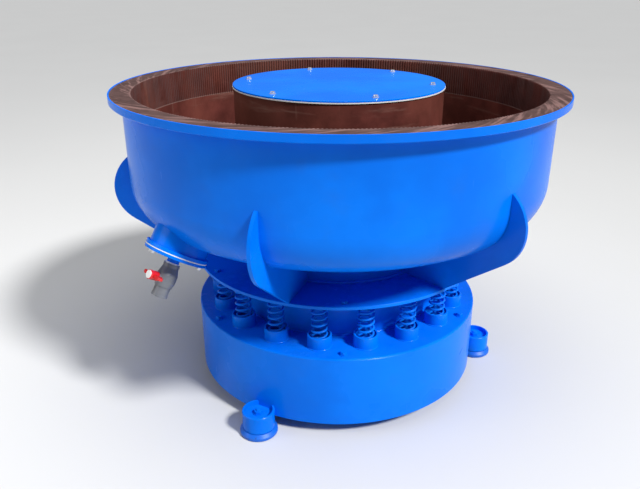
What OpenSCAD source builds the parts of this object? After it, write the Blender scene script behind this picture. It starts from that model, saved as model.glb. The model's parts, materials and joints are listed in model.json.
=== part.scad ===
// Vibratory rock tumbler: round bowl on a ring of coil springs over a drum base.
// Units are millimetres. +Z is up, the origin is on the machine's axis at floor level, the front is -Y.

/* [Overall] */
// Outside diameter of the bowl rim
bowl_d = 1350; // [1200:10:1600]
// Height of the rim above the floor
rim_h = 950; // [900:5:1100]
// Outside diameter of the base drum
drum_d = 924; // [860:2:1000]
// Height of the drum's top face above the floor
drum_h = 263; // [220:1:320]
// Height of the drum's bottom edge above the floor
drum_gap = 42; // [36:1:60]

/* [Bowl] */
// Overhang of the rim flange past the bowl wall
rim_w = 35; // [25:1:50]
// Height of the rim flange's outer edge
rim_lip_h = 21; // [16:1:30]
// Steel thickness of the bowl
bowl_t = 6; // [4:0.5:8]
// Height of the bowl's flat underside above the floor
bowl_low = 570; // [550:5:600]
// Outside radius of the bowl's lower outer corner
corner_r = 130; // [100:5:150]
// Outside radius of the bowl's inner corner, at the central tube
inner_corner_r = 100; // [70:5:110]
// Thickness of the polyurethane lining on the wall and floor
lining_t = 22; // [15:1:25]
// Thickness of the lining on the centre column
column_lining_t = 13; // [10:1:16]
// Height of the ribbed band of the wall lining
rib_band_h = 104; // [80:2:140]
// Outside radius of the central tube
tube_r = 305; // [280:1:315]
// Steel thickness of the central tube
tube_t = 6; // [5:0.5:8]

/* [Cover] */
// Overlap of the column cover past the central tube
cover_lap = 15; // [8:1:20]
// Thickness of the column cover
cover_t = 5; // [4:0.5:8]
// Thickness of the gasket under the cover
cover_gasket_t = 3; // [2:0.5:4]
// Number of cover bolts
cover_bolt_n = 6; // [4:1:12]
// Azimuth of the first cover bolt, from the front towards +X
cover_bolt_az = 17.5; // [0:0.5:45]
// Distance of the cover bolts inside the central tube's bore
cover_bolt_in = 16; // [12:1:24]
// Height of the column's top edge above the rim plane
column_rise = -3; // [-5:0.5:0]

/* [Gussets] */
// Number of gussets around the bowl
gusset_n = 6; // [4:1:8]
// Thickness of each gusset
gusset_t = 10; // [8:1:14]
// Azimuth of the first gusset, from the front towards +X
gusset_az = -20; // [-22:1:-18]
// Root gap that the gussets' welds bridge
weld_gap = 0.2; // [0.1:0.1:1]
// Radius of the curved outer edge of each gusset
gusset_r = 120; // [110:2:124]
// Distance of the gusset curve's centre inside the bowl wall
gusset_in = 70; // [66:1:74]
// Height of the gusset curve's centre above the bowl's underside
gusset_up = 90; // [80:1:98]

/* [Suspension] */
// Number of springs
spring_n = 18; // [12:6:24]
// Distance of the spring circle inside the drum's outside
spring_in = 75; // [70:1:82]
// Outside diameter of each spring
spring_d = 50; // [44:1:52]
// Wire diameter of each spring
wire_d = 7; // [6:0.5:8]
// Half turns of each spring between its closed ends
spring_half_n = 12; // [10:2:12]
// Distance of the spring plate's edge inside the drum's outside
plate_in = 7; // [0:1:12]
// Thickness of the spring plate
plate_t = 10; // [8:1:14]
// Height of the spring plate's lower face above the floor
plate_z = 415; // [400:1:430]
// Clearance between a spring and its cup
cup_fit = 6; // [3:1:8]
// Height of each spring cup
cup_h = 38; // [30:1:50]
// Thickness of the spring cup's wall and floor
cup_t = 5; // [4:0.5:6]
// Clearance between a spring and its upper seat ring
seat_fit = 2; // [1:0.5:4]
// Height of each upper spring seat
seat_h = 14; // [10:1:20]
// Distance of the tie-down bolts inside the drum's outside
tie_in = 26; // [22:1:32]
// Number of tie-down bolts
tie_n = 6; // [4:1:8]

/* [Base] */
// Wall thickness of the drum
drum_t = 5; // [4:0.5:8]
// Thickness of the drum's top ring
top_t = 10; // [8:1:14]
// Clearance between the guard tube and the spring cups
guard_clear = 24; // [16:1:30]
// Clearance between the guard tube and the spring plate
guard_gap = 22; // [18:1:30]

/* [Feet] */
// Number of feet
foot_n = 3; // [3:1:6]
// Distance of the feet outside the drum
foot_out = 35; // [30:1:45]
// Azimuth of the first foot, from the front towards +X
foot_az = -30; // [-40:1:-20]
// Outside radius of each foot socket
foot_r = 48; // [44:1:52]
// Width of the foot pad's step outside its socket
pad_lap = 8; // [4:1:12]
// Height of the pad's skirt
pad_h = 20; // [16:1:26]
// Height of the top of each foot socket above the floor
foot_top = 76; // [70:1:90]
// Radius of the foot studs
stud_r = 8; // [6:1:10]

/* [Drive] */
// Radius of the motor housing
motor_r = 130; // [120:1:140]
// Radius of the motor's mounting flange
motor_flange_r = 208; // [200:1:220]
// Length of the motor housing
motor_len = 180; // [160:1:190]
// Radius of the motor shaft
shaft_r = 30; // [25:1:35]
// Radial running clearance of bores on shafts
run_fit = 0.05; // [0.02:0.01:0.1]
// Radius of the upper weight
upper_weight_r = 190; // [150:1:200]
// Thickness of the upper weight
upper_weight_t = 50; // [30:1:60]
// Radius of the lower weights
lower_weight_r = 175; // [140:1:190]
// Thickness of each lower weight
lower_weight_t = 24; // [16:1:30]

/* [Drain] */
// Azimuth of the drain, from the front towards +X
drain_az = -50; // [-52:1:-48]
// Outward tilt of the drain's axis from straight down
drain_tilt = 31; // [26:1:34]
// Outside radius of the drain neck
neck_r = 79; // [72:1:80]
// Distance from the corner's centre of curvature to the cover plate's outer face
drain_reach = 174; // [170:1:184]
// Width of the drain flange outside its neck
drain_lap = 8; // [5:1:13]
// Number of bolts in the drain cover plate
drain_bolt_n = 3; // [3:1:8]
// Outside radius of the drain pipe
pipe_r = 16.85; // [16:0.05:17]
// Bore radius of the drain pipe and valve
bore_r = 13; // [12:0.5:13.5]
// Radius of the valve ball
ball_r = 19; // [18.5:0.5:20]
// Radius of the valve's stem
stem_r = 7; // [6:0.5:8]
// Wall of the valve's pipe sockets
socket_t = 5.15; // [4.5:0.05:6]
// Wing span of the valve handle
handle_w = 82; // [70:2:90]
// Radius of the handle's hub
hub_r = 13.2; // [12:0.2:14]
// Length of the handle's hub
hub_h = 26; // [24:1:30]

/* [Hidden] */
$fn = 128;
rim_r = bowl_d / 2;
wall_r = rim_r - rim_w;
lining_r = wall_r - bowl_t - lining_t;
lining_top = rim_h - 1;
seam_z = lining_top - rib_band_h;
ledge_z = rim_h - 9;
column_top = rim_h + column_rise;
column_r = tube_r + column_lining_t;
cover_r = tube_r + cover_lap;
cover_bolt_r = tube_r - tube_t - cover_bolt_in;
drum_r = drum_d / 2;
gusset_c = [wall_r - gusset_in, bowl_low + gusset_up];
spring_pr = drum_r - spring_in;
plate_r = drum_r - plate_in;
tie_r = drum_r - tie_in;
cup_r = spring_d / 2 + cup_fit + cup_t;
seat_t = 4;
seat_r = spring_d / 2 + seat_fit + seat_t;
guard_r = spring_pr - cup_r - guard_clear;
foot_pr = drum_r + foot_out;
pad_r = foot_r + pad_lap;
drain_flange_r = neck_r + drain_lap;
drain_bolt_r = neck_r - 5;
body_r = ball_r + 9;
handle_low = body_r + 1.5;
socket_r = pipe_r + socket_t;
plate_top = plate_z + plate_t;
cup_floor = drum_h + cup_t;
coil_r = (spring_d - wire_d) / 2;
guard_top = plate_z - guard_gap;
gland_z = drum_gap + 60;
motor_bolt_r = motor_flange_r - 17;
corner_c = [wall_r - corner_r, bowl_low + corner_r];
drain_face = -drain_reach;
valve_c = drain_face - 66;
motor_low = plate_top + 18 - motor_len * 0.55;
motor_high = motor_low + motor_len;
bell_t = 22;
upper_weight_z = motor_high + bell_t + 12;
lower_weight_z = motor_low - bell_t - 12 - lower_weight_t;
adjust_weight_z = lower_weight_z - 0.4 - lower_weight_t;
shaft_low = adjust_weight_z - 0.4;
shaft_high = upper_weight_z + upper_weight_t;
blue = [0.0, 0.38, 0.85];
brown = [0.3, 0.13, 0.1];
steel = [0.72, 0.73, 0.75];
dark = [0.15, 0.15, 0.16];
iron = [0.35, 0.36, 0.38];
pvc = [0.45, 0.46, 0.48];

// ---- shared helpers ----

// Turns local +X to a given azimuth, measured from the front (-Y) towards +X.
module at_azimuth(a) rotate([0, 0, a - 90]) children();

// Repeats its child evenly round the machine's axis.
module around(n, first, r) {
    for (i = [0 : n - 1])
        at_azimuth(first + i * 360 / n) translate([r, 0, 0]) children();
}

// Vertical holes of radius r, all round a circle, from z0 to z1.
module holes(n, first, circle_r, r, z0, z1) {
    around(n, first, circle_r) translate([0, 0, z0]) cylinder(h = z1 - z0, r = r, $fn = 32);
}

// Plain tube standing on z0.
module tube(ro, ri, z0, z1) {
    difference() {
        translate([0, 0, z0]) cylinder(h = z1 - z0, r = ro);
        translate([0, 0, z0 - 1]) cylinder(h = z1 - z0 + 2, r = ri);
    }
}

// Solid of revolution of a rectangle with its two outer corners eased by c.
module eased_disc(r, z0, z1, c) {
    rotate_extrude()
        polygon([[0, z0], [r - c, z0], [r, z0 + c], [r, z1 - c], [r - c, z1], [0, z1]]);
}

// Hexagon head or nut of a given width across flats, chamfered on top.
module hex_head(af, h) {
    intersection() {
        cylinder(h = h, r = af / sqrt(3), $fn = 6);
        cylinder(h = h, r1 = af * 0.62, r2 = af * 0.5, $fn = 48);
    }
}

// Half section of the trough, drawn as radius and height, inset from the steel's outer face.
module trough2d(inset, top) {
    lo = bowl_low + inset;
    ri = tube_r + inset;
    ro = wall_r - inset;
    co = corner_r - inset;
    ci = inner_corner_r - inset;
    difference() {
        translate([ri, lo]) square([ro - ri, top - lo]);
        difference() {
            translate([ro - co, lo - 1]) square([co + 1, co + 1]);
            translate([ro - co, lo + co]) circle(r = co);
        }
        difference() {
            translate([ri - 1, lo - 1]) square([ci + 1, ci + 1]);
            translate([ri + ci, lo + ci]) circle(r = ci);
        }
    }
}

// Everything inside the bowl's outer face, as a solid to cut with.
module bowl_solid() {
    rotate_extrude() trough2d(0, rim_h);
}

// Places a child on the drain's axis: local -Z runs out of the bowl, local +X up the slope.
module on_drain() {
    at_azimuth(drain_az) translate([corner_c[0], 0, corner_c[1]])
        rotate([0, -drain_tilt, 0]) children();
}

// One coil spring: tilted half turns, each pair joined by a short straight of wire.
// The first and last turns are nearly closed, and the n half turns between share the rest.
module coil(r, d, z0, z1, n) {
    end_rise = d * 0.68;
    mid_rise = (z1 - z0 - d - 4 * end_rise) / n;
    for (i = [0 : n + 3]) {
        low_ends = min(i, 2);
        top_ends = max(0, i - n - 2);
        full = i - low_ends - top_ends;
        start = z0 + d / 2 + (low_ends + top_ends) * end_rise + full * mid_rise;
        rise = (i < 2 || i >= n + 2) ? end_rise : mid_rise;
        tilt = atan(rise / (2 * r));
        side = (i % 2 == 0) ? 1 : -1;
        if (i > 0)
            translate([side * r, 0, start]) rotate([90, 0, 0])
                cylinder(h = 1.4, r = d / 2 - 0.05, center = true, $fn = 32);
        translate([0, side * 0.3, start + rise / 2]) rotate([0, side * tilt, 0])
            rotate([0, 0, (i % 2) * 180]) rotate_extrude(angle = 180, $fn = 48)
                translate([r / cos(tilt), 0]) circle(r = d / 2, $fn = 16);
    }
}

// Half-disc eccentric weight with a hub, its mass on the +X side.
module weight(r, t, hub_r) {
    difference() {
        union() {
            intersection() {
                cylinder(h = t, r = r);
                translate([-12, -r - 1, 0]) cube([r + 14, 2 * r + 2, t]);
            }
            cylinder(h = t, r = hub_r);
        }
        translate([0, 0, -1]) cylinder(h = t + 2, r = shaft_r + run_fit);
    }
}

// ---- base ----

module base_drum() {
    color(blue) difference() {
        tube(drum_r, drum_r - drum_t, drum_gap, drum_h - top_t);
        at_azimuth(180) translate([drum_r - 20, 0, gland_z]) rotate([0, 90, 0])
            cylinder(h = 40, r = 9.6, $fn = 48);
    }
}

module base_top() {
    color(blue) difference() {
        rotate_extrude() difference() {
            translate([guard_r, drum_h - top_t]) square([drum_r - guard_r, top_t]);
            difference() {
                translate([drum_r - 5, drum_h - 5]) square([6, 6]);
                translate([drum_r - 5, drum_h - 5]) circle(r = 5, $fn = 32);
            }
        }
        holes(tie_n, 0, tie_r, 5.1, drum_h - top_t - 1, drum_h + 1);
    }
}

module base_ring() {
    color(blue) tube(drum_r - drum_t, drum_r - 60, drum_gap, drum_gap + 8);
}

module guard_tube() {
    color(blue) tube(guard_r, guard_r - drum_t, drum_h - top_t - 60, guard_top);
}

module spring_cups() {
    color(blue) around(spring_n, 180 / spring_n, spring_pr) translate([0, 0, drum_h]) difference() {
        eased_disc(cup_r, 0, cup_h, 1);
        translate([0, 0, cup_t]) cylinder(h = cup_h, r = cup_r - cup_t, $fn = 64);
    }
}

module base_tie_bolts() {
    color(blue) around(tie_n, 0, tie_r) {
        translate([0, 0, drum_h]) cylinder(h = 2, r = 12, $fn = 48);
        translate([0, 0, drum_h + 2]) hex_head(18, 9);
        translate([0, 0, drum_h - top_t - 8]) cylinder(h = top_t + 10, r = 5, $fn = 32);
    }
}

// ---- feet ----

module foot_sockets() {
    color(blue) difference() {
        around(foot_n, foot_az, foot_pr) difference() {
            eased_disc(foot_r, pad_h + 1, foot_top, 1.5);
            translate([0, 0, pad_h]) cylinder(h = foot_top - 22 - pad_h, r = foot_r - 6);
            translate([0, 0, foot_top - 14]) cylinder(h = 15, r = foot_r - 6);
            cylinder(h = foot_top + 1, r = stud_r + 0.5, $fn = 48);
        }
        translate([0, 0, drum_gap]) cylinder(h = foot_top, r = drum_r);
    }
}

module foot_pads() {
    color(blue) difference() {
        around(foot_n, foot_az, foot_pr) difference() {
            union() {
                rotate_extrude() polygon([[0, 0], [pad_r - 3, 0], [pad_r, 3], [pad_r, pad_h * 0.55],
                    [foot_r + 1, pad_h], [0, pad_h]]);
                translate([0, 0, pad_h - 1]) cylinder(h = foot_top - 22 - pad_h + 0.9, r = foot_r - 6.3);
            }
            translate([0, 0, 10]) cylinder(h = foot_top, r = stud_r, $fn = 48);
        }
        translate([0, 0, drum_gap - 1]) cylinder(h = foot_top, r = drum_r + 1);
    }
}

module foot_studs() {
    color(steel) around(foot_n, foot_az, foot_pr) translate([0, 0, 10]) {
        cylinder(h = foot_top - 1 - 10, r = stud_r, $fn = 48);
        translate([0, 0, foot_top - 11]) cylinder(h = 3, r1 = stud_r, r2 = stud_r - 1.5, $fn = 48);
    }
}

module foot_nuts() {
    color(steel) around(foot_n, foot_az, foot_pr) translate([0, 0, foot_top - 14]) difference() {
        union() {
            cylinder(h = 2.5, r = 15, $fn = 48);
            translate([0, 0, 2.5]) hex_head(24, 9);
        }
        translate([0, 0, -1]) cylinder(h = 20, r = stud_r, $fn = 48);
    }
}

module cable_gland() {
    color(dark) at_azimuth(180) translate([drum_r, 0, gland_z]) rotate([0, 90, 0]) difference() {
        union() {
            cylinder(h = 6, r = 16, $fn = 6);
            translate([0, 0, -14]) cylinder(h = 20, r = 9.5, $fn = 48);
            translate([0, 0, 5]) cylinder(h = 12, r1 = 13, r2 = 10, $fn = 48);
        }
        translate([0, 0, -15]) cylinder(h = 40, r = 6, $fn = 48);
    }
}

// ---- suspension ----

module springs() {
    color(blue) around(spring_n, 180 / spring_n, spring_pr)
        coil(coil_r, wire_d, cup_floor, plate_z, spring_half_n);
}

module spring_seats() {
    color(blue) around(spring_n, 180 / spring_n, spring_pr)
        tube(seat_r, seat_r - seat_t, plate_z - seat_h, plate_z);
}

module spring_plate() {
    color(blue) difference() {
        eased_disc(plate_r, plate_z, plate_top, 1);
        translate([0, 0, plate_z - 1]) cylinder(h = plate_t + 2, r = motor_r + 6);
        holes(tie_n, 0, tie_r - 6, 5.1, plate_z - 1, plate_top + 1);
        holes(8, 22.5, motor_bolt_r, 8.1, plate_z - 1, plate_top + 1);
    }
}

module plate_tie_bolts() {
    color(blue) around(tie_n, 0, tie_r - 6) {
        translate([0, 0, plate_top]) hex_head(18, 8);
        translate([0, 0, plate_z - 4]) cylinder(h = plate_t + 5, r = 5, $fn = 32);
    }
}

// ---- bowl ----

module bowl_shell() {
    color(blue) difference() {
        rotate_extrude() difference() {
            trough2d(0, ledge_z);
            trough2d(bowl_t, ledge_z + 1);
            translate([tube_r - 1, bowl_low + inner_corner_r + 10]) square([bowl_t + 2, rim_h]);
        }
        on_drain() translate([0, 0, -corner_r - 30]) cylinder(h = 60, r = neck_r - 18);
    }
}

module rim_flange() {
    color(blue) rotate_extrude() difference() {
        translate([wall_r, rim_h - rim_lip_h]) square([rim_w, rim_lip_h]);
        translate([wall_r - 1, ledge_z]) square([rim_w - 3, 20]);
        translate([rim_r - 1, rim_h]) rotate(45) square(1.5, center = true);
        translate([rim_r, rim_h - rim_lip_h]) rotate(45) square(3, center = true);
    }
}

module wall_lining() {
    color(brown) rotate_extrude() difference() {
        union() {
            translate([lining_r, seam_z]) square([lining_t, lining_top - seam_z]);
            translate([lining_r, ledge_z]) square([rim_r - 4 - lining_r, lining_top - ledge_z]);
        }
        translate([lining_r, lining_top]) rotate(45) square(4, center = true);
    }
}

// Section of the lining's space, up to the wall lining and to the column's top.
module lining2d() {
    difference() {
        union() {
            trough2d(bowl_t, seam_z);
            translate([tube_r, bowl_low + inner_corner_r + 10])
                square([column_lining_t + 4, column_top - bowl_low - inner_corner_r - 10]);
        }
        difference() {
            trough2d(bowl_t + lining_t, column_top + 1);
            translate([tube_r, bowl_low]) square([column_lining_t + 26, rim_h]);
        }
        column_cut2d();
    }
}

// Inner side of the trough, where the column's lining turns into the floor.
module column_cut2d() {
    lo = bowl_low + bowl_t + lining_t;
    ci = inner_corner_r - bowl_t;
    difference() {
        translate([column_r, lo]) square([60, column_top - lo + 1]);
        difference() {
            translate([column_r - 1, lo - 1]) square([ci + 1, ci + 1]);
            translate([column_r + ci, lo + ci]) circle(r = ci);
        }
    }
}

module trough_lining() {
    color(brown) difference() {
        rotate_extrude() lining2d();
        on_drain() translate([0, 0, -corner_r]) cylinder(h = 60, r = neck_r - 18);
    }
}

module drain_screen() {
    color(brown) difference() {
        intersection() {
            rotate_extrude() lining2d();
            on_drain() translate([0, 0, -corner_r]) cylinder(h = 60, r = neck_r - 18.2);
        }
        for (i = [0 : 5])
            on_drain() rotate([0, 0, i * 60]) translate([20, 0, -corner_r]) cylinder(h = 70, r = 5, $fn = 24);
        for (i = [0 : 11])
            on_drain() rotate([0, 0, i * 30]) translate([42, 0, -corner_r]) cylinder(h = 70, r = 5, $fn = 24);
        on_drain() translate([0, 0, -corner_r]) cylinder(h = 70, r = 5, $fn = 24);
    }
}

module central_tube() {
    color(blue) tube(tube_r, tube_r - tube_t, plate_top, column_top);
}

module cover_seat() {
    color(blue) difference() {
        tube(tube_r - tube_t, tube_r - tube_t - 40, column_top - 12, column_top);
        holes(cover_bolt_n, cover_bolt_az, cover_bolt_r, 4.1, column_top - 13, column_top + 1);
    }
}

module cover_gasket() {
    color([0.85, 0.85, 0.83]) difference() {
        tube(cover_r + 1, tube_r - tube_t - 30, column_top, column_top + cover_gasket_t);
        holes(cover_bolt_n, cover_bolt_az, cover_bolt_r, 4.1, column_top - 1, column_top + 5);
    }
}

module column_cover() {
    color(blue) difference() {
        eased_disc(cover_r, column_top + cover_gasket_t, column_top + cover_gasket_t + cover_t, 1);
        holes(cover_bolt_n, cover_bolt_az, cover_bolt_r, 4.1, column_top, column_top + 20);
    }
}

module cover_bolts() {
    color(steel) around(cover_bolt_n, cover_bolt_az, cover_bolt_r) translate([0, 0, column_top]) {
        translate([0, 0, cover_gasket_t + cover_t]) cylinder(h = 1.6, r = 9, $fn = 48);
        translate([0, 0, cover_gasket_t + cover_t + 1.6]) hex_head(13, 5.4);
        translate([0, 0, -14]) cylinder(h = 14 + cover_gasket_t + cover_t + 1, r = 4, $fn = 32);
    }
}

module gussets() {
    tip = gusset_c + gusset_r * [0.6, -0.8];
    color(blue) around(gusset_n, gusset_az, 0) rotate([90, 0, 0])
        linear_extrude(height = gusset_t, center = true) difference() {
            union() {
                translate(gusset_c) circle(r = gusset_r);
                polygon([[tube_r, plate_top], [plate_r, plate_top], tip, gusset_c, [tube_r, gusset_c[1]]]);
            }
            trough2d(-weld_gap, rim_h);
            square([tube_r + weld_gap, rim_h]);
        }
}

// ---- drain ----

module drain_neck() {
    color(blue) difference() {
        on_drain() difference() {
            union() {
                translate([0, 0, drain_face + 11]) cylinder(h = corner_r, r = neck_r);
                translate([0, 0, drain_face + 11]) cylinder(h = 9, r = drain_flange_r);
            }
            translate([0, 0, drain_face]) cylinder(h = 14, r = neck_r - 22);
            translate([0, 0, drain_face + 19]) cylinder(h = corner_r, r = neck_r - 5);
            for (i = [0 : drain_bolt_n - 1])
                rotate([0, 0, i * 360 / drain_bolt_n]) translate([drain_bolt_r, 0, drain_face + 5])
                    cylinder(h = 14.6, r = 5.1, $fn = 32);
        }
        bowl_solid();
    }
}

module drain_ring(z0, z1, ri, ease) {
    on_drain() difference() {
        eased_disc(drain_flange_r, z0, z1, ease);
        translate([0, 0, z0 - 1]) cylinder(h = z1 - z0 + 2, r = ri);
        for (i = [0 : drain_bolt_n - 1])
            rotate([0, 0, i * 360 / drain_bolt_n]) translate([drain_bolt_r, 0, z0 - 1])
                cylinder(h = z1 - z0 + 2, r = 5.1, $fn = 32);
    }
}

module drain_gasket() {
    color([0.8, 0.8, 0.78]) drain_ring(drain_face + 8, drain_face + 11, neck_r - 22, 0.3);
}

module drain_plate() {
    color(blue) drain_ring(drain_face, drain_face + 8, pipe_r, 1);
}

module drain_bolts() {
    color(steel) on_drain() for (i = [0 : drain_bolt_n - 1])
        rotate([0, 0, i * 360 / drain_bolt_n]) translate([drain_bolt_r, 0, drain_face]) {
            translate([0, 0, -1.6]) cylinder(h = 1.6, r = 9.5, $fn = 48);
            translate([0, 0, -1.6]) rotate([180, 0, 0]) hex_head(16, 6.4);
            translate([0, 0, -2]) cylinder(h = 21, r = 5, $fn = 32);
        }
}

module drain_nipple() {
    color(blue) on_drain() tube(pipe_r, bore_r, drain_face - 30, drain_face + 8);
}

module valve_seal() {
    color([0.95, 0.95, 0.95]) on_drain() tube(pipe_r + 2.2, pipe_r, drain_face - 22, drain_face - 18);
}

module valve_body() {
    z_top = drain_face - 22;
    z_low = valve_c - 22;
    color(pvc) on_drain() difference() {
        union() {
            translate([0, 0, valve_c]) cylinder(h = z_top - valve_c, r = socket_r);
            translate([0, 0, z_top - 6]) cylinder(h = 6, r = socket_r + 0.8);
            translate([0, 0, z_low]) cylinder(h = 14, r1 = ball_r + 5, r2 = body_r);
            translate([0, 0, z_low + 14]) cylinder(h = 22, r = body_r);
            translate([0, 0, z_low + 36]) cylinder(h = 20, r1 = body_r, r2 = socket_r);
            translate([0, 0, valve_c]) rotate([0, 90, 0])
                cylinder(h = handle_low - 0.5, r = hub_r - 0.2, $fn = 64);
        }
        translate([0, 0, drain_face - 30]) cylinder(h = 10, r = pipe_r);
        translate([0, 0, valve_c]) cylinder(h = 60, r = bore_r);
        translate([0, 0, valve_c]) sphere(r = ball_r + run_fit);
        translate([0, 0, z_low - 1]) cylinder(h = 23, r = ball_r + run_fit);
        translate([0, 0, valve_c]) rotate([0, 90, 0]) cylinder(h = 60, r = stem_r + run_fit, $fn = 64);
    }
}

module valve_tail() {
    z_low = valve_c - 22;
    color(pvc) on_drain() difference() {
        union() {
            translate([0, 0, valve_c - 51]) cylinder(h = 29, r = socket_r);
            translate([0, 0, valve_c - 51]) cylinder(h = 6, r = socket_r + 0.8);
            translate([0, 0, z_low - 1]) cylinder(h = 22.8 - stem_r, r = ball_r);
        }
        translate([0, 0, valve_c - 60]) cylinder(h = 60, r = bore_r);
        translate([0, 0, valve_c - 52]) cylinder(h = 20, r = pipe_r);
        translate([0, 0, valve_c]) sphere(r = ball_r + run_fit);
    }
}

module valve_ball() {
    color([0.9, 0.9, 0.9]) on_drain() translate([0, 0, valve_c]) difference() {
        sphere(r = ball_r);
        rotate([90, 0, 0]) cylinder(h = 60, r = bore_r, center = true);
        translate([ball_r - 3, -9, -2.5]) cube([10, 18, 5]);
    }
}

module valve_stem() {
    color(pvc) on_drain() translate([0, 0, valve_c]) intersection() {
        union() {
            translate([ball_r - 2.9, -6, -2.4]) cube([6, 12, 4.8]);
            translate([ball_r + 0.5, 0, 0]) rotate([0, 90, 0])
                cylinder(h = handle_low + 20 - ball_r - 0.5, r = stem_r, $fn = 64);
        }
        rotate([0, 90, 0]) cylinder(h = 100, r = stem_r, $fn = 64);
    }
}

module valve_handle() {
    color([0.85, 0.08, 0.1]) on_drain() translate([handle_low, 0, valve_c]) rotate([0, 90, 0]) difference() {
        union() {
            cylinder(h = hub_h, r = hub_r, $fn = 64);
            translate([0, 0, 4]) linear_extrude(height = 16) hull() {
                translate([0, handle_w / 2 - 6]) circle(r = 6, $fn = 48);
                translate([0, 6 - handle_w / 2]) circle(r = 6, $fn = 48);
            }
        }
        translate([0, 0, -1]) cylinder(h = 21, r = stem_r + run_fit, $fn = 64);
        translate([0, 0, hub_h - 2]) cylinder(h = 3, r = hub_r - 2.15, $fn = 64);
    }
}

module handle_cap() {
    color([0.96, 0.96, 0.96]) on_drain() translate([handle_low + hub_h - 2, 0, valve_c])
        rotate([0, 90, 0]) cylinder(h = 4, r = hub_r - 2.2, $fn = 64);
}

// ---- drive ----

module motor_housing() {
    color(dark) difference() {
        union() {
            translate([0, 0, motor_low]) cylinder(h = motor_len, r = motor_r);
            translate([0, 0, plate_top]) cylinder(h = 18, r = motor_flange_r);
            for (i = [0 : 21])
                rotate([0, 0, i * 15 + 112.5]) translate([motor_r - 3, -2, plate_top + 24])
                    cube([15, 4, motor_high - plate_top - 32]);
        }
        translate([0, 0, motor_low - 1]) cylinder(h = motor_len + 2, r = motor_r - 12);
        holes(8, 22.5, motor_bolt_r, 8.1, plate_top - 1, plate_top + 19);
    }
}

module motor_bells() {
    color(dark) for (s = [0, 1])
        translate([0, 0, s == 0 ? motor_low : motor_high]) mirror([0, 0, 1 - s]) difference() {
            union() {
                eased_disc(motor_r, 0, bell_t - 6, 3);
                cylinder(h = bell_t, r = 68);
            }
            translate([0, 0, -1]) cylinder(h = bell_t - 2, r = 55);
            translate([0, 0, -1]) cylinder(h = bell_t + 2, r = shaft_r + 1);
        }
}

module bearings() {
    color(steel) for (z = [motor_low - bell_t + 3, motor_high])
        tube(55, shaft_r + run_fit, z, z + bell_t - 3);
}

module stator() {
    color([0.5, 0.3, 0.15]) tube(motor_r - 12, 78, motor_low + 30, motor_high - 30);
}

module terminal_box() {
    color(dark) difference() {
        translate([-36, motor_r - 10, plate_top + 26]) cube([72, 70, 50]);
        translate([-30, motor_r + 20, plate_top + 32]) cube([60, 34, 50]);
        cylinder(h = rim_h, r = motor_r);
    }
}

module motor_bolts() {
    color(steel) around(8, 22.5, motor_bolt_r) {
        translate([0, 0, plate_top + 18]) hex_head(24, 10);
        translate([0, 0, plate_z - 14]) cylinder(h = plate_t + 33, r = 8, $fn = 32);
        translate([0, 0, plate_z]) rotate([180, 0, 0]) hex_head(24, 10);
    }
}

module motor_shaft() {
    color(steel) translate([0, 0, shaft_low]) cylinder(h = shaft_high - shaft_low, r = shaft_r);
}

module rotor_core() {
    color([0.55, 0.56, 0.58]) tube(76, shaft_r, motor_low + 32, motor_high - 32);
}

module upper_weight() {
    color(iron) translate([0, 0, upper_weight_z]) at_azimuth(90)
        weight(upper_weight_r, upper_weight_t, 52);
}

module shaft_caps() {
    color(steel) {
        translate([0, 0, shaft_high]) shaft_cap();
        translate([0, 0, shaft_low]) rotate([180, 0, 0]) shaft_cap();
    }
}

// Retaining washer and screw on one end of the shaft.
module shaft_cap() {
    cylinder(h = 5, r = shaft_r + 14);
    translate([0, 0, 5]) hex_head(30, 13);
}

module lower_weight() {
    color(iron) translate([0, 0, lower_weight_z]) at_azimuth(90)
        weight(lower_weight_r, lower_weight_t, 48);
}

module adjust_weight() {
    color(iron) translate([0, 0, adjust_weight_z]) at_azimuth(90) difference() {
        weight(lower_weight_r, lower_weight_t, 48);
        translate([lower_weight_r / 2, 0, -1]) cylinder(h = 17, r = 6, $fn = 32);
    }
}

module adjust_bolt() {
    color(steel) at_azimuth(90) translate([lower_weight_r / 2, 0, adjust_weight_z]) rotate([180, 0, 0]) {
        hex_head(19, 9);
        translate([0, 0, -16]) cylinder(h = 17, r = 6, $fn = 32);
    }
}

base_drum();
base_top();
base_ring();
guard_tube();
spring_cups();
base_tie_bolts();
foot_sockets();
foot_pads();
foot_studs();
foot_nuts();
cable_gland();
springs();
bowl_shell();
rim_flange();
wall_lining();
trough_lining();
central_tube();
cover_seat();
cover_gasket();
column_cover();
cover_bolts();
gussets();
spring_plate();
spring_seats();
plate_tie_bolts();
motor_housing();
motor_bells();
stator();
bearings();
terminal_box();
motor_bolts();
drain_neck();
drain_gasket();
drain_plate();
drain_bolts();
drain_screen();
drain_nipple();
valve_seal();
valve_body();
valve_tail();
valve_ball();
valve_stem();
valve_handle();
handle_cap();
motor_shaft();
rotor_core();
upper_weight();
shaft_caps();
lower_weight();
adjust_weight();
adjust_bolt();
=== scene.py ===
"""Vibratory rock tumbler: its finishes, ribbed lining, coil springs, weld beads, drain handle and studio."""

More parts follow.
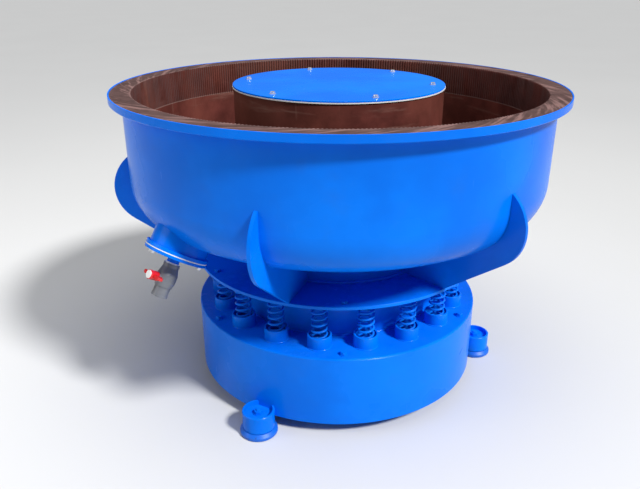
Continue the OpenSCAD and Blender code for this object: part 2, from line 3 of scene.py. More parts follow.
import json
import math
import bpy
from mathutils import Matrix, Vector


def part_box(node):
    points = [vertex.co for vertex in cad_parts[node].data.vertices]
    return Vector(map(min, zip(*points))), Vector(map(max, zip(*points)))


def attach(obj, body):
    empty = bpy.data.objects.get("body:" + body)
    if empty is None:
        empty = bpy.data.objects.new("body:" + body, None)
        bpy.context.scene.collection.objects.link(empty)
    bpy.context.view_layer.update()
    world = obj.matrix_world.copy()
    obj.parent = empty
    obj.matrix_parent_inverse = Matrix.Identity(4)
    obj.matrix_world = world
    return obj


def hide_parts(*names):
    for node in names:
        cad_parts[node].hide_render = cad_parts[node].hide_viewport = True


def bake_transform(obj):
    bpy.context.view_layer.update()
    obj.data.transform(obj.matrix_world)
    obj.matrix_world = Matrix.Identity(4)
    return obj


bl_info = {
    "name": "Vibratory Rock Tumbler",
    "version": (1, 0, 0),
    "blender": (4, 5, 0),
    "location": "View3D > Sidebar > Tumbler",
    "description": "Finishes and detail for a vibratory bowl tumbler on coil springs",
    "category": "Object",
}

import bmesh
import bpy
from bpy.props import FloatProperty, FloatVectorProperty, IntProperty, PointerProperty
from mathutils import Matrix, Vector

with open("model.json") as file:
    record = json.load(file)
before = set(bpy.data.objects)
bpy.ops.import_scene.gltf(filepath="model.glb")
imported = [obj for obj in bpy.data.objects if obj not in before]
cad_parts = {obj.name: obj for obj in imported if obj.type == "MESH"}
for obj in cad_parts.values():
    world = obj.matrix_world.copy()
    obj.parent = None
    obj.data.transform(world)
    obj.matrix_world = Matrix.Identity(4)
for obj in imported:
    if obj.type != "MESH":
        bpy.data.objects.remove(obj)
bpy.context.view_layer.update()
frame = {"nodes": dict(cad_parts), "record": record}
NODES = frame["nodes"]
RECORD = frame["record"]
LINING_DEPTH = 0.028  # from the outside of the bowl's wall in to the ribs
WALL_THICK = 0.006  # from the same outside in to the lining's back

# ---------------------------------------------------------------- measures from the frame


def node_radius(name):
    """Largest radius of a node that is round about the machine's axis."""
    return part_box(name)[1].x


def crest_radius():
    """Radius of the inner faces of the lining's ribs."""
    return node_radius("bowl_shell") - LINING_DEPTH


def joint(name):
    return next(j for j in RECORD["behaviour"]["joints"] if j["name"] == name)


def mount(name):
    return next(m for m in RECORD["mounts"] if m["name"] == name)


def azimuth(degrees, radius, z=0.0):
    """A point at an angle from the front (-Y) towards +X."""
    a = math.radians(degrees)
    return Vector((radius * math.sin(a), -radius * math.cos(a), z))


def drain_frame():
    """Matrix of the valve: local -Z runs out of the bowl, local +X is the stem."""
    x = Vector(joint("valve_turn")["axis"]).normalized()
    z = -Vector(mount("drain_outlet")["axis"]).normalized()
    y = z.cross(x).normalized()
    m = Matrix((x, y, z)).transposed().to_4x4()
    m.translation = Vector(joint("valve_turn")["pos_m"])
    return m


# ---------------------------------------------------------------- settings


class TumblerLining(bpy.types.PropertyGroup):
    rib_count: IntProperty(name="Ribs", description="Upright ribs round the lining's band",
                           default=400, min=40)
    rib_depth: FloatProperty(name="Rib depth", description="Depth of the grooves between ribs",
                             default=0.0045, min=0.0005, unit="LENGTH", subtype="DISTANCE")
    colour: FloatVectorProperty(name="Lining colour", description="Colour of the cast polyurethane",
                                default=(0.105, 0.027, 0.022), size=3, min=0, max=1, subtype="COLOR")
    # This dust colour, made paler, is also painted as a highlight along the rim's edges.
    dust: FloatVectorProperty(name="Dust colour", description="Colour of dried dust on the rim",
                              default=(0.098, 0.058, 0.054), size=3, min=0, max=1, subtype="COLOR")


class TumblerPaint(bpy.types.PropertyGroup):
    colour: FloatVectorProperty(name="Enamel colour", description="Colour of the gloss enamel",
                                default=(0.0, 0.165, 0.84), size=3, min=0, max=1, subtype="COLOR")
    roughness: FloatProperty(name="Enamel roughness", description="Roughness of clean enamel",
                             default=0.27, min=0, max=1, subtype="FACTOR")


class TumblerSprings(bpy.types.PropertyGroup):
    count: IntProperty(name="Springs", description="Springs round the ring", default=18, min=3)
    turns: IntProperty(name="Open turns", description="Turns between a spring's closed ends",
                       default=6, min=2)
    across: FloatProperty(name="Spring width", description="Outside diameter of a spring",
                          default=0.05, min=0.02, unit="LENGTH", subtype="DISTANCE")
    wire: FloatProperty(name="Wire", description="Diameter of the spring wire",
                        default=0.007, min=0.002, unit="LENGTH", subtype="DISTANCE")


class TumblerWelds(bpy.types.PropertyGroup):
    size: FloatProperty(name="Bead size", description="Half the width of a fillet weld",
                        default=0.0032, min=0.001, unit="LENGTH", subtype="DISTANCE")
    pitch: FloatProperty(name="Ripple pitch", description="Distance from ripple to ripple along a bead",
                         default=0.005, min=0.001, unit="LENGTH", subtype="DISTANCE")


class TumblerStudio(bpy.types.PropertyGroup):
    floor: FloatVectorProperty(name="Floor colour", description="Colour of the studio floor",
                               default=(0.64, 0.64, 0.635), size=3, min=0, max=1, subtype="COLOR")
    key: FloatProperty(name="Key light", description="Strength of the key light", default=3.9, min=0)
    fill: FloatProperty(name="Fill light", description="Power of the fill light in watts", default=30, min=0)
    air: FloatProperty(name="Air", description="Strength of the even light all round", default=0.14, min=0)


# ---------------------------------------------------------------- shader graph


class Value:
    """A number in a shader, so that arithmetic on it adds Math nodes."""

    def __init__(self, finish, socket):
        self.finish, self.socket = finish, socket

    def _math(self, operation, a, b):
        return self.finish.node("ShaderNodeMath", {"operation": operation}, {0: a, 1: b})

    def __add__(self, other):
        return self._math("ADD", self, other)

    def __radd__(self, other):
        return self._math("ADD", other, self)

    def __sub__(self, other):
        return self._math("SUBTRACT", self, other)

    def __rsub__(self, other):
        return self._math("SUBTRACT", other, self)

    def __mul__(self, other):
        return self._math("MULTIPLY", self, other)

    def __rmul__(self, other):
        return self._math("MULTIPLY", other, self)


class Finish:
    """One procedural material on a Principled shader."""

    def __init__(self, name):
        self.material = bpy.data.materials.new(name)
        self.material.use_nodes = True
        self.tree = self.material.node_tree
        self.tree.nodes.clear()
        output = self.tree.nodes.new("ShaderNodeOutputMaterial")
        self.shader = self.tree.nodes.new("ShaderNodeBsdfPrincipled")
        self.tree.links.new(self.shader.outputs[0], output.inputs[0])
        self.place = self.node("ShaderNodeTexCoord", out="Object")

    def node(self, kind, settings=None, inputs=None, out=0):
        """Adds a node: its settings first, then the values or links of its sockets."""
        new = self.tree.nodes.new(kind)
        for key, value in (settings or {}).items():
            setattr(new, key, value)
        for key, value in (inputs or {}).items():
            self.feed(new.inputs[key], value)
        return Value(self, new.outputs[out])

    def feed(self, socket, value):
        if isinstance(value, Value):
            self.tree.links.new(value.socket, socket)
        elif socket.type == "RGBA" and len(value) == 3:
            socket.default_value = (*value, 1)
        else:
            socket.default_value = value

    def noise(self, scale, detail=3.0, roughness=0.5, vector=None):
        return self.node("ShaderNodeTexNoise", {}, {"Vector": vector or self.place, "Scale": scale,
                                                    "Detail": detail, "Roughness": roughness})

    def stretched(self, x, y, z):
        """The object's own place with each axis scaled, for streaks and brushing."""
        return self.node("ShaderNodeMapping", {"vector_type": "POINT"},
                         {"Vector": self.place, "Scale": (x, y, z)})

    def step(self, value, low, high):
        """0 below low, 1 above high, smooth between."""
        return self.node("ShaderNodeMapRange", {"interpolation_type": "SMOOTHSTEP"},
                         {"Value": value, "From Min": low, "From Max": high})

    def mix(self, factor, a, b):
        new = self.tree.nodes.new("ShaderNodeMix")
        new.data_type = "RGBA"
        for key, value in (("Factor_Float", factor), ("A_Color", a), ("B_Color", b)):
            self.feed(next(s for s in new.inputs if s.identifier == key), value)
        return Value(self, next(s for s in new.outputs if s.identifier == "Result_Color"))

    def axis(self, letter, source=None):
        return self.node("ShaderNodeSeparateXYZ", {}, {0: source or self.place}, out="XYZ".index(letter))

    def facing_up(self):
        """How far the surface faces up, from 0 to 1."""
        normal = self.node("ShaderNodeNewGeometry", out="Normal")
        return self.step(self.axis("Z", normal), 0.55, 0.98)

    def bump(self, *layers):
        """Stacks (height, distance, strength) layers into the shader's normal."""
        normal = None
        for height, distance, strength in layers:
            inputs = {"Height": height, "Distance": distance, "Strength": strength}
            if normal is not None:
                inputs["Normal"] = normal
            normal = self.node("ShaderNodeBump", {}, inputs)
        self.feed(self.shader.inputs["Normal"], normal)

    def set(self, **sockets):
        names = {"colour": "Base Color", "roughness": "Roughness", "metallic": "Metallic",
                 "coat": "Coat Weight", "coat_roughness": "Coat Roughness", "specular": "Specular IOR Level"}
        for key, value in sockets.items():
            self.feed(self.shader.inputs[names[key]], value)
        return self.material


def shade(colour, factor):
    return tuple(min(1.0, c * factor) for c in colour)


def toward(colour, other, share):
    return tuple(c + (o - c) * share for c, o in zip(colour, other))


def enamel(name, colour, roughness, dust=0.06, coat=0.05):
    """Gloss enamel sprayed over welded plate: orange peel, slack sheet, dust and a few scuffs."""
    f = Finish(name)
    tone = f.noise(2.6, 4, 0.55)
    patch = f.noise(11, 5, 0.6)
    colour_mid = f.mix(f.step(tone, 0.35, 0.68), shade(colour, 0.86), toward(colour, (0.0, 0.24, 0.95), 0.35))
    colour_all = f.mix(f.step(patch, 0.5, 0.75) * 0.25, colour_mid, toward(colour, (0.03, 0.12, 0.45), 0.5))
    settled = f.facing_up() * f.step(f.noise(24, 6, 0.65), 0.35, 0.7) * dust
    scuff = f.step(f.noise(1, 7, 0.62, f.stretched(60, 60, 9)), 0.66, 0.76)
    rub = f.step(f.noise(1, 5, 0.7, f.stretched(7, 7, 90)), 0.7, 0.78)
    overlay = f.mix(settled * 0.3, colour_all, (0.16, 0.3, 0.6))
    marked = f.mix((scuff + rub) * 0.05, overlay, (0.1, 0.3, 0.85))
    peel = f.noise(420, 2, 0.4)
    slack = f.noise(5.5, 2, 0.4)
    dirt = f.noise(900, 2, 0.6)
    f.bump((slack, 0.0025, 0.15), (peel, 0.0003, 0.25), (dirt, 0.0001, 0.12))
    level = roughness + settled * 0.3 + (scuff + rub) * 0.16 + (tone - 0.5) * 0.12
    return f.set(colour=marked, roughness=level, coat=coat, coat_roughness=0.12, specular=0.07)


def polyurethane(name, colour, dust_and_highlight_colour, scuffs, ribs=None):
    """Cast polyurethane: mottled, rubbed by the load round the trough, dusty where it faces up at the rim,
    with a painted highlight along the rim's edges.
    ribs gives the groove and crest radii of a ribbed band, whose crests are paler than its grooves."""
    f = Finish(name)
    height = f.axis("Z")
    low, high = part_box("wall_lining")
    mottle = f.noise(9, 6, 0.62)
    cloud = f.noise(2.2, 3, 0.5)
    streak = f.noise(1, 6, 0.6, f.stretched(3.5, 3.5, 34))
    run = f.noise(1, 5, 0.6, f.stretched(40, 40, 3))
    base = f.mix(f.step(mottle, 0.3, 0.72), shade(colour, 0.6), shade(colour, 1.3))
    warm = f.mix(f.step(cloud, 0.4, 0.7) * 0.5, base, toward(colour, (0.24, 0.085, 0.05), 0.6))
    pale = f.step(streak, 0.55, 0.74) * scuffs
    drips = f.step(run, 0.6, 0.78) * 0.28
    surface = f.mix(pale * 0.38 + drips, warm, (0.33, 0.2, 0.16))
    level = 0.36 + mottle * 0.16 + pale * 0.2
    if ribs:
        groove, crest = ribs
        flat = f.node("ShaderNodeVectorMath", {"operation": "MULTIPLY"}, {0: f.place, 1: (1, 1, 0)})
        radius = f.node("ShaderNodeVectorMath", {"operation": "LENGTH"}, {0: flat}, out=1)
        # Pale slanted streaks across the rim's top, laid out by the angle round the axis and by the radius.
        turn = f.node("ShaderNodeMath", {"operation": "ARCTAN2"}, {0: f.axis("Y"), 1: f.axis("X")})
        skew = turn * 16 + radius * 55
        slanted = f.node("ShaderNodeCombineXYZ", {}, {0: skew, 1: radius * 12, 2: height * 3})
        overlay = f.noise(1, 5, 0.65, slanted)
        on_crest = f.step(radius, groove - 0.0012, crest + 0.0004)
        rubbed = on_crest * f.step(f.noise(1, 5, 0.6, f.stretched(26, 26, 7)), 0.3, 0.62)
        surface = f.mix(rubbed * 0.7, surface, (0.095, 0.052, 0.05))
        seam = f.step(height, low.z + 0.004, low.z + 0.001)
        surface = f.mix(seam * 0.7, surface, (0.26, 0.17, 0.15))
        rim = f.step(height, high.z - 0.003, high.z - 0.0012)
        blotch = f.noise(16, 6, 0.7)
        dusty = f.mix(f.step(blotch, 0.28, 0.75), shade(dust_and_highlight_colour, 0.5), shade(dust_and_highlight_colour, 1.1))
        streaked_dust = f.mix(f.step(overlay, 0.5, 0.62), dusty, shade(dust_and_highlight_colour, 2.1))
        # Painted highlight: pale lines along the inner and outer edges of the rim's top, broken up by the
        # streak pattern.
        edge = f.step(radius, crest + 0.006, crest + 0.001) + f.step(radius, high.x - 0.004, high.x - 0.001)
        top = f.mix(edge * 0.55 * f.step(overlay, 0.35, 0.5), streaked_dust, shade(dust_and_highlight_colour, 3.0))
        surface = f.mix(rim * 0.9, surface, top)
        level = level + rim * 0.25 + rubbed * 0.15
    fine = f.noise(300, 4, 0.6)
    f.bump((f.noise(30, 4, 0.55), 0.0012, 0.3), (streak, 0.0008, 0.3), (fine, 0.0003, 0.35))
    return f.set(colour=surface, roughness=level, specular=0.16)


def zinc(name, tint, roughness=0.3):
    """Bright zinc plate with faint cloudy passivation."""
    f = Finish(name)
    cloud = f.noise(60, 4, 0.6)
    colour = f.mix(f.step(cloud, 0.35, 0.7), shade(tint, 0.8), tint)
    f.bump((f.noise(700, 3, 0.6), 0.0002, 0.4))
    return f.set(colour=colour, metallic=0.7, roughness=roughness + (cloud - 0.5) * 0.25)


def ground_steel(name):
    """Steel turned and ground round the shaft's axis, with fine rings and a film of oil."""
    f = Finish(name)
    rings = f.noise(1, 4, 0.6, f.stretched(6, 6, 900))
    cloud = f.noise(18, 4, 0.6)
    colour = f.mix(f.step(cloud, 0.4, 0.75), (0.5, 0.5, 0.51), (0.33, 0.3, 0.27))
    f.bump((rings, 0.0001, 0.5))
    return f.set(colour=colour, metallic=1.0, roughness=0.24 + rings * 0.2)


def casting(name, colour, metal):
    """Sand-cast iron: pitted skin, dull paint or a machined grey."""
    f = Finish(name)
    grain = f.noise(160, 5, 0.65)
    stain = f.noise(14, 5, 0.6)
    tone = f.mix(f.step(stain, 0.45, 0.72), colour, toward(colour, (0.12, 0.06, 0.03), 0.35))
    pits = f.step(grain, 0.3, 0.48)
    f.bump((grain, 0.0012, 0.55), (pits, 0.0006, 0.4))
    return f.set(colour=tone, metallic=metal, roughness=0.5 + (1 - pits) * 0.2 + (stain - 0.5) * 0.2)


def laminations(name):
    """Stacked electrical sheet: fine level lines with a varnish tint."""
    f = Finish(name)
    line = f.node("ShaderNodeTexWave", {"wave_type": "BANDS", "bands_direction": "Z"},
                  {"Vector": f.place, "Scale": 320, "Distortion": 0.2, "Detail": 1})
    colour = f.mix(line, (0.1, 0.065, 0.04), (0.3, 0.25, 0.2))
    f.bump((line, 0.0004, 0.5))
    return f.set(colour=colour, metallic=0.7, roughness=0.45 + f.noise(40) * 0.15)


def moulded(name, colour, roughness, dust=0.3, coat=0.0):
    """Injection-moulded plastic: faint flow marks, fine spark texture, dust in patches."""
    f = Finish(name)
    flow = f.noise(1, 4, 0.55, f.stretched(20, 20, 60))
    dirt = f.step(f.noise(45, 6, 0.68), 0.5, 0.8) * dust
    base = f.mix(flow, shade(colour, 0.85), shade(colour, 1.12))
    colour_all = f.mix(dirt, base, toward(colour, (0.4, 0.38, 0.35), 0.5))
    f.bump((f.noise(1400, 2, 0.5), 0.00012, 0.5), (flow, 0.0004, 0.2))
    return f.set(colour=colour_all, roughness=roughness + dirt * 0.35 + (flow - 0.5) * 0.1, coat=coat,
                 coat_roughness=0.15)


def pad_rubber(name, colour):
    """Moulded rubber under the same enamel, rubbed through to black here and there."""
    f = Finish(name)
    wear = f.step(f.noise(55, 7, 0.7), 0.63, 0.7)
    tone = f.noise(20, 4, 0.5)
    paint = f.mix(tone, shade(colour, 0.7), colour)
    f.bump((f.noise(220, 4, 0.6), 0.0006, 0.4), (wear, 0.0003, 0.4))
    colour_all = f.mix(wear * 0.8, paint, (0.014, 0.014, 0.016))
    return f.set(colour=colour_all, roughness=0.38 + wear * 0.35 + tone * 0.1)


# ---------------------------------------------------------------- modelling helpers


def start_clean():
    if bpy.context.object and bpy.context.object.mode != "OBJECT":
        bpy.ops.object.mode_set(mode="OBJECT")
    bpy.ops.object.select_all(action="DESELECT")


def begin(name):
    """Names the primitive just added and opens it for editing."""
    piece = bpy.context.object
    piece.name = piece.data.name = name
    bpy.ops.object.mode_set(mode="EDIT")
    return piece


def pick(piece, kind, test):
    """Selects the vertices, edges or faces that pass a test on them."""
    mesh = bmesh.from_edit_mesh(piece.data)
    for group in (mesh.verts, mesh.edges, mesh.faces):
        for item in group:
            item.select = False
    mesh.select_mode = {kind}
    bpy.context.tool_settings.mesh_select_mode = (kind == "VERT", kind == "EDGE", kind == "FACE")
    chosen = {"VERT": mesh.verts, "EDGE": mesh.edges, "FACE": mesh.faces}[kind]
    for item in chosen:
        if test(item):
            item.select_set(True)
    mesh.select_flush_mode()
    bmesh.update_edit_mesh(piece.data)


def scale_picked(x, y, z, centre=(0, 0, 0)):
    bpy.ops.transform.resize(value=(x, y, z), center_override=centre)


def close(piece, merge=0.00002, angle=35):
    """Leaves edit mode with doubles merged, faces outward and soft shading under an angle."""
    bpy.ops.mesh.select_all(action="SELECT")
    bpy.ops.mesh.remove_doubles(threshold=merge)
    bpy.ops.mesh.normals_make_consistent(inside=False)
    bpy.ops.object.mode_set(mode="OBJECT")
    bpy.ops.object.shade_smooth_by_angle(angle=math.radians(angle))
    return piece


def bevel(piece, width, segments=2, angle=35):
    bpy.context.view_layer.objects.active = piece
    modifier = piece.modifiers.new("edge", "BEVEL")
    modifier.width, modifier.segments = width, segments
    modifier.limit_method, modifier.angle_limit = "ANGLE", math.radians(angle)
    modifier.use_clamp_overlap = True
    bpy.ops.object.modifier_apply(modifier=modifier.name)


def settle(piece, matrix=None):
    """Puts a piece's place into its mesh, so that its object stays at the origin."""
    if matrix is not None:
        piece.matrix_world = matrix @ piece.matrix_world
    start_clean()
    piece.select_set(True)
    bpy.context.view_layer.objects.active = piece
    bpy.ops.object.transform_apply(location=True, rotation=True, scale=True)
    return piece


def join(pieces, name):
    start_clean()
    for piece in pieces:
        piece.select_set(True)
    bpy.context.view_layer.objects.active = pieces[0]
    if len(pieces) > 1:
        bpy.ops.object.join()
    whole = bpy.context.object
    whole.name = whole.data.name = name
    return whole


def copies(piece, matrices):
    """Copies of one finished piece, each with a mesh of its own; the first matrix moves the piece itself."""
    out = []
    for matrix in matrices[1:]:
        twin = piece.copy()
        twin.data = piece.data.copy()
        bpy.context.collection.objects.link(twin)
        out.append(settle(twin, matrix))
    return [settle(piece, matrices[0])] + out


def clothe(piece, finish, body=None):
    """Gives a piece its finish and slot, and its body when one is given."""
    piece.data.materials.clear()
    piece.data.materials.append(bpy.data.materials[finish])
    if body:
        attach(piece, body)


def turned(degrees):
    return Matrix.Rotation(math.radians(degrees), 4, "Z")


# ---------------------------------------------------------------- finishes


SLOT_FINISH = {
    "blue_paint": "Blue enamel", "spring_paint": "Spring enamel in painted shade", "blue_rubber": "Painted rubber in painted shade",
    "brown_lining": "Trough polyurethane", "zinc_steel": "Bright zinc", "bright_steel": "Ground steel",
    "cast_weight": "Bare casting", "motor_paint": "Painted casting", "stator_steel": "Laminations",
    "grey_pvc": "Grey PVC", "red_plastic": "Red plastic", "white_plastic": "White plastic",
    "pale_gasket": "Pale gasket", "black_plastic": "Black nylon",
}
PAINTED_OVER = ("foot_studs", "foot_nuts")  # zinc hardware that was sprayed with the base


class TUMBLER_OT_finishes(bpy.types.Operator):
    """Makes the finishes and puts one on every part of the frame."""
    bl_idname = "tumbler.finishes"
    bl_label = "Finishes"

    def execute(self, context):
        paint, lining = context.scene.tumbler_paint, context.scene.tumbler_lining
        blue, brown, dust = tuple(paint.colour), tuple(lining.colour), tuple(lining.dust)
        enamel("Blue enamel", blue, paint.roughness)
        # The springs' enamel is the blue enamel made darker: painted shade, with more dust and roughness on
        # top of it.
        enamel("Spring enamel in painted shade", shade(blue, 0.92), paint.roughness + 0.05, dust=0.2)
        # The welds' enamel is the blue enamel made lighter: a painted highlight, so that the beads read as
        # bright lines.
        enamel("Weld enamel with painted highlight", shade(blue, 1.1), paint.roughness - 0.04, dust=0.1, coat=0.4)
        crest = crest_radius()
        polyurethane("Ribbed polyurethane", shade(brown, 0.9), dust, 0.25, (crest + lining.rib_depth, crest))
        polyurethane("Trough polyurethane", brown, dust, 1.0)
        # The pads' enamel is the blue enamel made darker: painted shade.
        pad_rubber("Painted rubber in painted shade", shade(blue, 0.85))
        zinc("Bright zinc", (0.83, 0.83, 0.8))
        ground_steel("Ground steel")
        casting("Bare casting", (0.2, 0.2, 0.205), 0.6)
        casting("Painted casting", (0.035, 0.04, 0.05), 0.0)
        laminations("Laminations")
        moulded("Grey PVC", (0.15, 0.16, 0.18), 0.36)
        moulded("Red plastic", (0.62, 0.012, 0.014), 0.25, dust=0.12, coat=0.3)
        moulded("White plastic", (0.82, 0.82, 0.79), 0.32, dust=0.15)
        moulded("Pale gasket", (0.72, 0.72, 0.7), 0.6, dust=0.4)
        moulded("Black nylon", (0.018, 0.018, 0.02), 0.42)
        slots = {s["node"]: s["material_slot"] for s in RECORD["subparts"]}
        for name, node in NODES.items():
            node.data.materials.clear()
            finish = "Blue enamel" if name in PAINTED_OVER else SLOT_FINISH[slots[name]]
            node.data.materials.append(bpy.data.materials[finish])
        return {"FINISHED"}


# ---------------------------------------------------------------- lining


class TUMBLER_OT_wall_lining(bpy.types.Operator):
    """Ribbed band of the wall lining with its flat rim, as one closed ring."""
    bl_idname = "tumbler.wall_lining"
    bl_label = "Wall lining"

    def execute(self, context):
        settings = context.scene.tumbler_lining
        low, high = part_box("wall_lining")
        crest = crest_radius()
        groove = crest + settings.rib_depth
        lift, play = 0.0002, 0.0003  # off the bowl's top edge, and off the flange's lip
        outer = high.x - play
        back = node_radius("bowl_shell") - WALL_THICK
        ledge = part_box("bowl_shell")[1].z + lift
        per_rib = 4
        count = settings.rib_count * per_rib
        start_clean()
        bpy.ops.mesh.primitive_circle_add(vertices=count, radius=groove, location=(0, 0, low.z))
        piece = begin("ribbed_wall_lining")

        def on_crest(v):
            turn = math.atan2(v.co.y, v.co.x) / (2 * math.pi) * count
            return round(turn) % per_rib in (0, 1)

        def step(crest_to, groove_to, rise, radii):
            """Extrudes the picked loop, then brings crests and grooves to their own radii."""
            bpy.ops.mesh.extrude_region_move(TRANSFORM_OT_translate={"value": (0, 0, rise)})
            mesh = bmesh.from_edit_mesh(piece.data)
            fresh = {v.index for v in mesh.verts if v.select}
            for crests, start, end in ((True, radii[0], crest_to), (False, radii[1], groove_to)):
                if abs(start - end) > 1e-7:
                    pick(piece, "VERT", lambda v: v.index in fresh and on_crest(v) == crests)
                    scale_picked(end / start, end / start, 1)
            pick(piece, "VERT", lambda v: v.index in fresh)
            return crest_to, groove_to

        pick(piece, "VERT", on_crest)
        scale_picked(crest / groove, crest / groove, 1)
        bpy.ops.mesh.select_all(action="SELECT")
        radii = (crest, groove)
        soft, arris = 0.0009, 0.0015
        radii = step(crest, groove, high.z - low.z - soft, radii)
        radii = step(crest + soft * 0.7, groove + soft * 0.4, soft * 0.8, radii)
        radii = step(crest + 0.006, groove + 0.003, soft * 0.2, radii)
        radii = step(outer - arris, outer - arris, 0, radii)
        radii = step(outer, outer, -arris, radii)
        radii = step(outer, outer, ledge - high.z + arris, radii)
        radii = step(back, back, 0, radii)
        radii = step(back, back, low.z - ledge, radii)
        step(crest, groove, 0, radii)
        settle(close(piece, angle=30))
        clothe(piece, "Ribbed polyurethane", "bowl")
        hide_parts("wall_lining")
        return {"FINISHED"}


# ---------------------------------------------------------------- springs


class TUMBLER_OT_springs(bpy.types.Operator):
    """Coil springs with closed ends, set round the ring between the base and the bowl."""
    bl_idname = "tumbler.springs"
    bl_label = "Springs"

    def execute(self, context):
        settings = context.scene.tumbler_springs
        wire, low, high = settings.wire, *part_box("springs")
        first, last = low.z + wire / 2, high.z - wire / 2
        end_rise = wire * 1.36  # a closed turn, which almost lies on the next
        open_rise = (last - first - 2 * end_rise) / settings.turns
        coil = (settings.across - wire) / 2
        spring = join([self.run(coil, wire, first, end_rise, 1),
                       self.run(coil, wire, first + end_rise, open_rise, settings.turns),
                       self.run(coil, wire, last - end_rise, end_rise, 1)], "coil_springs")
        bpy.ops.object.mode_set(mode="EDIT")
        bpy.ops.mesh.select_all(action="SELECT")
        bpy.ops.mesh.remove_doubles(threshold=0.00002)
        for end in (first, last):
            pick(spring, "EDGE", lambda e: e.is_boundary and abs(e.verts[0].co.z - end) < wire)
            bpy.ops.mesh.edge_face_add()
        close(spring, angle=60)
        ring = high.x - settings.across / 2
        step = 360 / settings.count
        places = [turned((i + 0.5) * step) @ Matrix.Translation((0, -ring, 0)) for i in range(settings.count)]
        springs = join(copies(spring, places), "coil_springs")
        clothe(springs, "Spring enamel in painted shade")
        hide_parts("springs")
        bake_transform(springs)
        return {"FINISHED"}

    @staticmethod
    def run(coil, wire, z, rise, turns):
        """Wire wound up from z, open at both ends, rising by rise in each turn."""
        start_clean()
        bpy.ops.mesh.primitive_circle_add(vertices=12, radius=wire / 2, location=(coil, 0, z),
                                          rotation=(math.radians(90), 0, 0))
        piece = settle(bpy.context.object)
        modifier = piece.modifiers.new("wind", "SCREW")
        modifier.screw_offset, modifier.iterations = rise, turns
        modifier.steps = modifier.render_steps = 40  # in each turn
        bpy.ops.object.modifier_apply(modifier=modifier.name)
        return piece


# ---------------------------------------------------------------- welds


def ring_bead(name, radius, z, size, pitch):
    """A rippled fillet weld round a tube, level at z."""
    ripples = max(24, round(2 * math.pi * radius / pitch))
    start_clean()
    bpy.ops.mesh.primitive_torus_add(major_segments=ripples * 2, minor_segments=8, major_radius=radius,
                                     minor_radius=size, location=(0, 0, z))
    piece = begin(name)

    def between(v):
        turn = math.atan2(v.co.y, v.co.x) / (2 * math.pi) * ripples * 2
        return round(turn) % 2 == 1

    pick(piece, "VERT", between)
    bpy.ops.transform.shrink_fatten(value=-size * 0.22)
    return close(piece, merge=0.000005, angle=60)


class TUMBLER_OT_welds(bpy.types.Operator):
    """Rippled fillet welds at the spring cups, the central tube, the guard tube and the rim."""
    bl_idname = "tumbler.welds"
    bl_label = "Welds"

    def execute(self, context):
        settings = context.scene.tumbler_welds
        size, pitch = settings.size, settings.pitch
        tube = ring_bead("tube_weld", node_radius("central_tube") + size * 0.5,
                         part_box("central_tube")[0].z + size * 0.5, size * 1.7, pitch * 1.5)
        rim = ring_bead("rim_weld", node_radius("bowl_shell") + size * 0.2,
                        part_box("rim_flange")[0].z - size * 0.1, size * 0.8, pitch * 1.2)
        clothe(join([settle(tube), settle(rim)], "bowl_welds"), "Weld enamel with painted highlight", "bowl")
        guard = ring_bead("guard_weld", node_radius("guard_tube") + size * 0.3,
                          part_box("base_top")[1].z + size * 0.3, size * 0.9, pitch)
        places, radius = self.cup_centres(context.scene.tumbler_springs.count)
        cup = ring_bead("cup_weld", radius + size * 0.2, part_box("spring_cups")[0].z + size * 0.3,
                        size * 0.75, pitch * 0.8)
        rings = copies(cup, [Matrix.Translation(place) for place in places])
        clothe(join([settle(guard)] + rings, "base_welds"), "Weld enamel with painted highlight", "base")
        return {"FINISHED"}

    @staticmethod
    def cup_centres(count):
        """Places and radius of the spring cups, found from the cups themselves."""
        step = 360 / count
        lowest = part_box("spring_cups")[0].z
        cups = {}
        for v in NODES["spring_cups"].data.vertices:
            if v.co.z < lowest + 0.001:
                turn = math.degrees(math.atan2(v.co.x, -v.co.y))
                cups.setdefault(round(turn / step - 0.5) % count, []).append(v.co.copy())
        places = []
        for points in cups.values():
            xs, ys = [p.x for p in points], [p.y for p in points]
            places.append(Vector(((min(xs) + max(xs)) / 2, (min(ys) + max(ys)) / 2, 0)))
            radius = (max(xs) - min(xs)) / 2
        return places, radius


# ---------------------------------------------------------------- valve


class TUMBLER_OT_valve_handle(bpy.types.Operator):
    """Red two-winged handle with finger dips, on the valve's stem."""
    bl_idname = "tumbler.valve_handle"
    bl_label = "Valve handle"

    def execute(self, context):
        low = 0.0295  # from the valve's axis to the hub, along the stem
        hub_r, hub_h = 0.0132, 0.026
        width, thick, tall = 0.082, 0.012, 0.016
        start_clean()
        bpy.ops.mesh.primitive_cylinder_add(vertices=48, radius=hub_r, depth=hub_h,
                                            location=(0, 0, low + hub_h / 2))
        hub = begin("valve_handle_moulded")
        pick(hub, "FACE", lambda f: f.normal.z > 0.9)
        bpy.ops.mesh.inset(thickness=0.0021)
        bpy.ops.mesh.extrude_region_move(TRANSFORM_OT_translate={"value": (0, 0, -0.0019)})
        close(hub)
        bevel(hub, 0.0007)
        start_clean()
        middle = low + 0.012
        bpy.ops.mesh.primitive_cube_add(size=1, location=(0, 0, middle))
        wings = begin("wings")
        scale_picked(thick, width, tall, (0, 0, middle))
        bpy.ops.mesh.subdivide(number_cuts=7)
        for share, across, upright in ((1.0, 0.62, 0.74), (0.75, 1.0, 1.0), (0.5, 0.82, 0.94),
                                       (0.25, 0.74, 0.98)):
            pick(wings, "VERT", lambda v: abs(abs(v.co.y) - share * width / 2) < 1e-4)
            scale_picked(across, 1, upright, (0, 0, middle))
        close(wings, angle=60)
        bevel(wings, 0.0026, 3, 50)
        handle = join([hub, wings], "valve_handle_moulded")
        settle(handle, drain_frame() @ Matrix.Rotation(math.radians(90), 4, "Y"))
        clothe(handle, "Red plastic", "valve")
        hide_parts("valve_handle")
        return {"FINISHED"}


# ---------------------------------------------------------------- studio


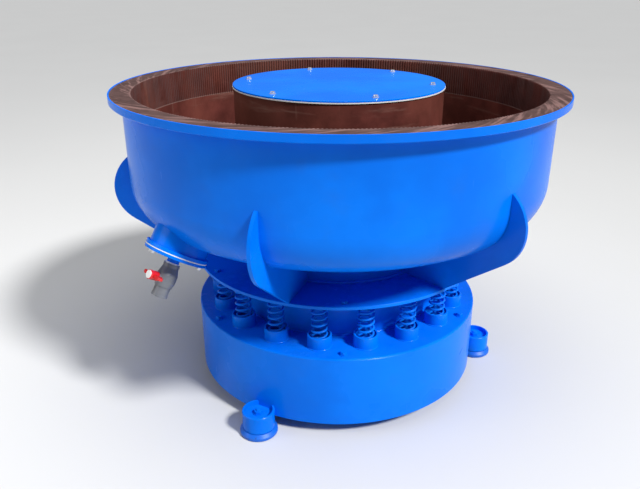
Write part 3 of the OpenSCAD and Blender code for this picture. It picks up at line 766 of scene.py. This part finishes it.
class TUMBLER_OT_studio(bpy.types.Operator):
    """Pale floor, soft lights and the camera."""
    bl_idname = "tumbler.studio"
    bl_label = "Studio"

    def execute(self, context):
        settings = context.scene.tumbler_studio
        self.floor(tuple(settings.floor))
        self.lights(settings.key, settings.fill, settings.air)
        self.camera(context.scene)
        context.scene.view_settings.view_transform = "Standard"
        return {"FINISHED"}

    @staticmethod
    def floor(colour):
        start_clean()
        bpy.ops.mesh.primitive_circle_add(vertices=96, radius=70, fill_type="NGON", location=(0, 0, 0))
        floor = begin("studio_floor")
        bpy.ops.mesh.inset(thickness=2.0)
        bpy.ops.object.mode_set(mode="OBJECT")
        f = Finish("Studio floor")
        cloud = f.noise(0.8, 3, 0.5)
        f.bump((f.noise(60, 3, 0.5), 0.0005, 0.15))
        tone = f.mix(cloud, shade(colour, 0.98), shade(colour, 1.02))
        floor.data.materials.append(f.set(colour=tone, roughness=0.6 + cloud * 0.08, specular=0.25))

    @staticmethod
    def lights(key, fill, air):
        world = bpy.data.worlds.new("Studio air")
        bpy.context.scene.world = world
        world.use_nodes = True
        background = world.node_tree.nodes["Background"]
        background.inputs["Color"].default_value = (0.9, 0.94, 1.0, 1)
        background.inputs["Strength"].default_value = air
        aim = Vector((0, 0, 0.65))
        for name, kind, power, size, place in (
                ("key", "SUN", key, math.radians(9), azimuth(48, 4, 4.6)),
                ("fill", "AREA", fill, 2.2, azimuth(-70, 3.6, 2.3)),
                ("overhead", "AREA", fill * 4, 4.0, azimuth(20, 0.6, 4.6))):
            data = bpy.data.lights.new(name + "_light", kind)
            data.energy = power
            if kind == "SUN":
                data.angle = size
            else:
                data.shape, data.size = "DISK", size
            lamp = bpy.data.objects.new(name + "_light", data)
            bpy.context.collection.objects.link(lamp)
            lamp.location = place
            lamp.rotation_euler = (aim - place).to_track_quat("-Z", "Y").to_euler()

    @staticmethod
    def camera(scene):
        """A wide lens close in front of the rim, a little left of the front and looking down."""
        rim = node_radius("rim_flange")
        rim_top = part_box("rim_flange")[1].z
        side, swing, down = -3, 1.609, 22.763  # degrees round the machine, off its axis, and below level
        away, above = 2.9772, 0.462  # in rim radii
        data = bpy.data.cameras.new("camera")
        data.sensor_width, data.lens = 36, 36.47
        data.clip_start, data.clip_end = 0.05, 100
        camera = bpy.data.objects.new("camera", data)
        bpy.context.collection.objects.link(camera)
        camera.location = azimuth(side, away * rim, rim_top + above * rim)
        camera.rotation_euler = (math.radians(90 - down), 0, math.radians(side + swing))
        scene.camera = camera


# ---------------------------------------------------------------- panel and registration


OPERATORS = (TUMBLER_OT_finishes, TUMBLER_OT_wall_lining, TUMBLER_OT_springs, TUMBLER_OT_welds,
             TUMBLER_OT_valve_handle, TUMBLER_OT_studio)
GROUPS = {"tumbler_lining": TumblerLining, "tumbler_paint": TumblerPaint, "tumbler_springs": TumblerSprings,
          "tumbler_welds": TumblerWelds, "tumbler_studio": TumblerStudio}


class TUMBLER_PT_panel(bpy.types.Panel):
    """Everything this add-on makes, in order."""
    bl_label = "Tumbler"
    bl_idname = "TUMBLER_PT_panel"
    bl_space_type = "VIEW_3D"
    bl_region_type = "UI"
    bl_category = "Tumbler"

    def draw(self, context):
        for group, kind in GROUPS.items():
            box = self.layout.box()
            for name in kind.__annotations__:
                box.prop(getattr(context.scene, group), name)
        for operator in OPERATORS:
            self.layout.operator(operator.bl_idname)


def register():
    for kind in (*GROUPS.values(), *OPERATORS, TUMBLER_PT_panel):
        bpy.utils.register_class(kind)
    for name, kind in GROUPS.items():
        setattr(bpy.types.Scene, name, PointerProperty(type=kind))


def unregister():
    for name in GROUPS:
        delattr(bpy.types.Scene, name)
    for kind in reversed((*GROUPS.values(), *OPERATORS, TUMBLER_PT_panel)):
        bpy.utils.unregister_class(kind)


def main():
    register()
    for operator in OPERATORS:
        name = operator.bl_idname.split(".")[1]
        getattr(bpy.ops.tumbler, name)()
    start_clean()


if __name__ == "__main__":
    main()
